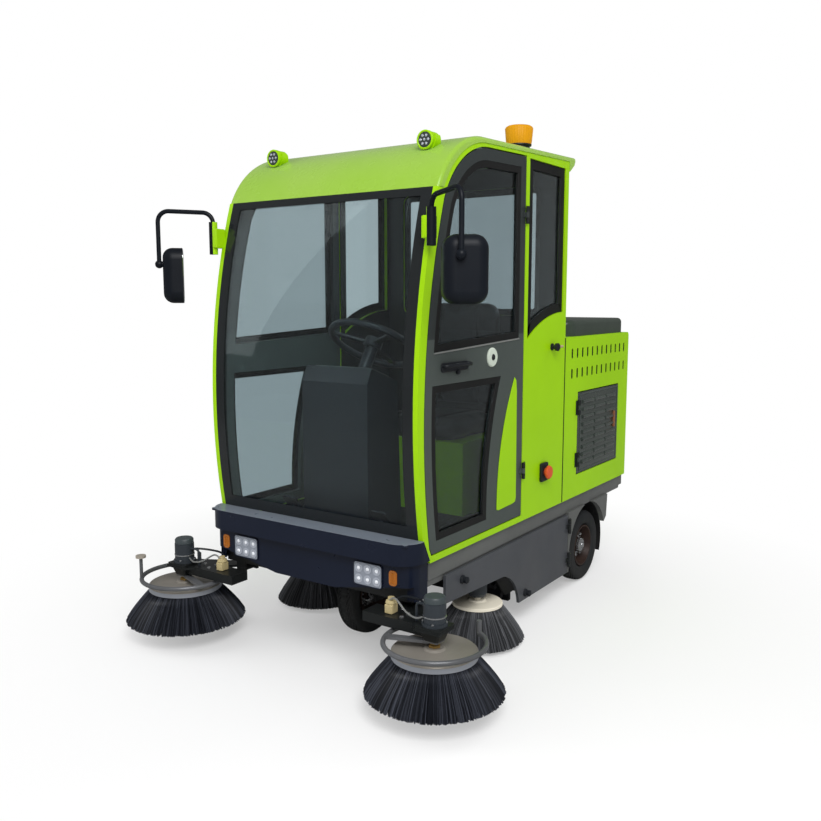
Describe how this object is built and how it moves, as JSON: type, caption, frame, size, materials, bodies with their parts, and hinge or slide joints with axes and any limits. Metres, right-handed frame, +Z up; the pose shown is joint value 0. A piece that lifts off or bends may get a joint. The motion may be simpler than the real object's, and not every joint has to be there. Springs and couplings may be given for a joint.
{
  "type": "ride-on floor sweeper with closed cab",
  "caption": "Ride-on floor sweeper with a closed glazed cab, lifting front side brushes, middle brushes, a main roller, a vented rear box with lid and tailgate, and a single steered front wheel.",
  "frame": {"origin": "on the floor under the middle of the bounding box", "axes": "+Z up, the front faces -Y, the machine's left side is +X"},
  "size_m": [1.762, 2.38, 2.1261],
  "materials": {
    "green_paint": "gloss",
    "dark_frame": "satin",
    "black_plastic": "matte",
    "black_steel": "satin",
    "glass": "clear",
    "bumper_plastic": "satin",
    "lamp_lens": "clear",
    "amber_lens": "clear",
    "red_lens": "clear",
    "grey_paint": "satin",
    "motor_paint": "satin",
    "rubber": "matte",
    "seat_cover": "satin",
    "tyre": "matte",
    "rim_steel": "satin",
    "bristle": "matte",
    "disc_steel": "satin",
    "disc_beige": "matte"
  },
  "bodies": {
    "chassis": {"chassis_frame": "black_steel", "deck": "black_steel", "rear_axle": "black_steel", "roof_panel": "green_paint", "cab_side_left": "green_paint", "cab_side_right": "green_paint", "cab_rear_wall": "green_paint", "windscreen": "glass", "fixed_windows": "glass", "front_bumper": "bumper_plastic", "headlamps": "lamp_lens", "turn_lamps": "amber_lens", "side_skirts": "grey_paint", "mud_guards": "rubber", "rear_side_left": "green_paint", "rear_side_right": "green_paint", "rear_deck": "green_paint", "rear_bumper": "grey_paint", "tail_lamps": "red_lens", "battery_block": "black_plastic", "hopper": "grey_paint", "seat_base": "green_paint", "seat_pads": "seat_cover", "dash_pedestal": "black_plastic", "roof_lamps": "black_plastic", "beacon": "amber_lens", "mirrors": "black_plastic", "roller_housing": "black_steel", "mid_motors": "black_steel"},
    "steering_wheel": {"steering_wheel": "black_plastic"},
    "front_fork": {"steering_fork": "black_steel"},
    "front_wheel": {"front_tyre": "tyre", "front_rim": "rim_steel"},
    "roller": {"roller_brush": "bristle"},
    "lid": {"rear_lid": "dark_frame"},
    "tailgate": {"tailgate": "green_paint"},
    "rear_wheel_left": {"rear_tyre_left": "tyre", "rear_rim_left": "rim_steel"},
    "brush_arm_left": {"brush_arm_left": "grey_paint", "brush_motor_left": "motor_paint"},
    "front_brush_left": {"front_disc_left": "disc_steel", "front_bristles_left": "bristle"},
    "mid_brush_left": {"mid_disc_left": "disc_beige", "mid_bristles_left": "bristle"},
    "cab_door_left": {"cab_door_left": "dark_frame", "cab_door_glass_left": "glass"},
    "louvre_door_left": {"louvre_door_left": "dark_frame"},
    "access_panel_left": {"access_panel_left": "grey_paint"},
    "rear_wheel_right": {"rear_tyre_right": "tyre", "rear_rim_right": "rim_steel"},
    "brush_arm_right": {"brush_arm_right": "grey_paint", "brush_motor_right": "motor_paint"},
    "front_brush_right": {"front_disc_right": "disc_steel", "front_bristles_right": "bristle"},
    "mid_brush_right": {"mid_disc_right": "disc_beige", "mid_bristles_right": "bristle"},
    "cab_door_right": {"cab_door_right": "dark_frame", "cab_door_glass_right": "glass"},
    "louvre_door_right": {"louvre_door_right": "dark_frame"},
    "access_panel_right": {"access_panel_right": "grey_paint"}
  },
  "joints": [
    {"name": "steer", "type": "hinge", "parent": "chassis", "child": "front_fork", "pos_m": [0, -0.47995, 0.386], "axis": [0, 0, 1], "range_deg": [-55, 55]},
    {"name": "front_wheel_spin", "type": "hinge", "parent": "front_fork", "child": "front_wheel", "pos_m": [0, -0.47995, 0.178], "axis": [1, 0, 0], "continuous": true},
    {"name": "steering_wheel_turn", "type": "hinge", "parent": "chassis", "child": "steering_wheel", "pos_m": [0, -0.43995, 1.23], "axis": [0, 0.5299, 0.848], "range_deg": [-340, 340]},
    {"name": "roller_spin", "type": "hinge", "parent": "chassis", "child": "roller", "pos_m": [0, 0.169, 0.156], "axis": [1, 0, 0], "continuous": true},
    {"name": "lid_open", "type": "hinge", "parent": "chassis", "child": "lid", "pos_m": [0, 0.428, 1.253], "axis": [1, 0, 0], "range_deg": [0, 70]},
    {"name": "tailgate_open", "type": "hinge", "parent": "chassis", "child": "tailgate", "pos_m": [-0.483, 1.174, 0.85], "axis": [0, 0, 1], "range_deg": [0, 110]},
    {"name": "rear_wheel_left_spin", "type": "hinge", "parent": "chassis", "child": "rear_wheel_left", "pos_m": [0.452, 0.67002, 0.178], "axis": [1, 0, 0], "continuous": true},
    {"name": "brush_arm_left_lift", "type": "hinge", "parent": "chassis", "child": "brush_arm_left", "pos_m": [0.395, -0.805, 0.3], "axis": [0, -1, 0], "range_deg": [-9, 10]},
    {"name": "front_brush_left_spin", "type": "hinge", "parent": "brush_arm_left", "child": "front_brush_left", "pos_m": [0.631, -0.94, 0.224], "axis": [0, 0, 1], "continuous": true},
    {"name": "mid_brush_left_spin", "type": "hinge", "parent": "chassis", "child": "mid_brush_left", "pos_m": [0.432, -0.3, 0.165], "axis": [0, 0, 1], "continuous": true},
    {"name": "cab_door_left_open", "type": "hinge", "parent": "chassis", "child": "cab_door_left", "pos_m": [0.519, -0.06945, 1.225], "axis": [0, 0, 1], "range_deg": [0, 95]},
    {"name": "louvre_door_left_open", "type": "hinge", "parent": "chassis", "child": "louvre_door_left", "pos_m": [0.519, 0.5095, 0.774], "axis": [0, 0, -1], "range_deg": [0, 110]},
    {"name": "access_panel_left_open", "type": "hinge", "parent": "chassis", "child": "access_panel_left", "pos_m": [0.521, 0.42702, 0.25], "axis": [0, 0, 1], "range_deg": [0, 90]},
    {"name": "rear_wheel_right_spin", "type": "hinge", "parent": "chassis", "child": "rear_wheel_right", "pos_m": [-0.452, 0.67002, 0.178], "axis": [1, 0, 0], "continuous": true},
    {"name": "brush_arm_right_lift", "type": "hinge", "parent": "chassis", "child": "brush_arm_right", "pos_m": [-0.395, -0.805, 0.3], "axis": [0, 1, 0], "range_deg": [-9, 10]},
    {"name": "front_brush_right_spin", "type": "hinge", "parent": "brush_arm_right", "child": "front_brush_right", "pos_m": [-0.631, -0.94, 0.224], "axis": [0, 0, 1], "continuous": true},
    {"name": "mid_brush_right_spin", "type": "hinge", "parent": "chassis", "child": "mid_brush_right", "pos_m": [-0.432, -0.3, 0.165], "axis": [0, 0, 1], "continuous": true},
    {"name": "cab_door_right_open", "type": "hinge", "parent": "chassis", "child": "cab_door_right", "pos_m": [-0.519, -0.06945, 1.225], "axis": [0, 0, -1], "range_deg": [0, 95]},
    {"name": "louvre_door_right_open", "type": "hinge", "parent": "chassis", "child": "louvre_door_right", "pos_m": [-0.519, 0.5095, 0.774], "axis": [0, 0, 1], "range_deg": [0, 110]},
    {"name": "access_panel_right_open", "type": "hinge", "parent": "chassis", "child": "access_panel_right", "pos_m": [-0.521, 0.42702, 0.25], "axis": [0, 0, -1], "range_deg": [0, 90]}
  ],
  "couplings": [
    {"joint": "steering_wheel_turn", "follows": "steer", "ratio": 6}
  ]
}
